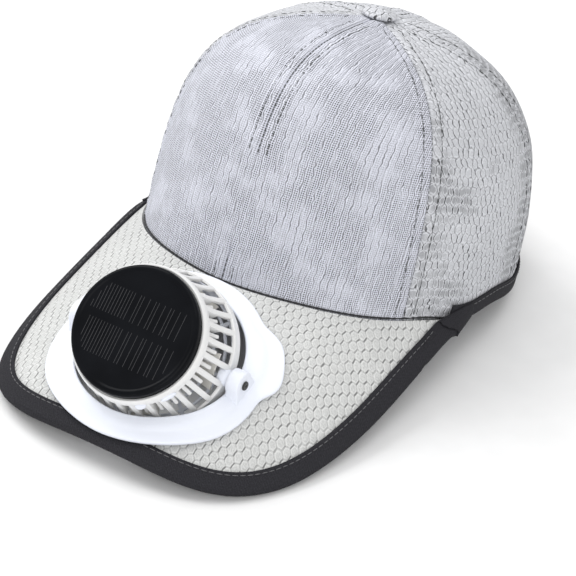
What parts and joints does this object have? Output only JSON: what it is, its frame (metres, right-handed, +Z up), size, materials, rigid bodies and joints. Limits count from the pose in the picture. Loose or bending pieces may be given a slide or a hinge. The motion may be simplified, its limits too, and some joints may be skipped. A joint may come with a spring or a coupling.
{
  "type": "solar fan hat",
  "caption": "Baseball-type cap with an arched peak that carries a tilting slotted fan under a round solar panel; rear opening with a strap.",
  "frame": {"origin": "middle of the bounding box at the floor, the cap resting on the tip of its peak and its rear hem", "axes": "-Y to the front of the cap, +X to the wearer's left, +Z up"},
  "size_m": [0.1734, 0.295, 0.141],
  "materials": {
    "backed_mesh": "matt woven",
    "open_mesh": "matt open knit",
    "peak_mesh": "matt knit over board",
    "binding": "matt twill tape",
    "white_plastic": "satin moulded",
    "dark_plastic": "satin",
    "solar_panel": "glossy",
    "motor": "satin"
  },
  "bodies": {
    "cap": {"crown_front": "backed_mesh", "crown_side_left": "open_mesh", "crown_side_right": "open_mesh", "crown_back_left": "open_mesh", "crown_back_right": "open_mesh", "top_button": "backed_mesh", "peak": "peak_mesh", "peak_binding": "binding", "hem_binding": "binding", "rear_strap": "binding", "fan_flange": "white_plastic", "retaining_ring": "white_plastic", "pivot_cap_left": "dark_plastic", "pivot_cap_right": "dark_plastic"},
    "fan_head": {"fan_housing": "white_plastic", "solar_panel": "solar_panel", "fan_motor": "motor", "fan_guard": "white_plastic"},
    "impeller": {"fan_impeller": "white_plastic"}
  },
  "joints": [
    {"name": "fan_tilt", "type": "hinge", "parent": "cap", "child": "fan_head", "pos_m": [0, -0.101, 0.03625], "axis": [1, 0, 0], "range_deg": [-20, 2]},
    {"name": "fan_spin", "type": "hinge", "parent": "fan_head", "child": "impeller", "pos_m": [0, -0.101, 0.03625], "axis": [0, -0.7298, 0.6836], "continuous": true}
  ]
}
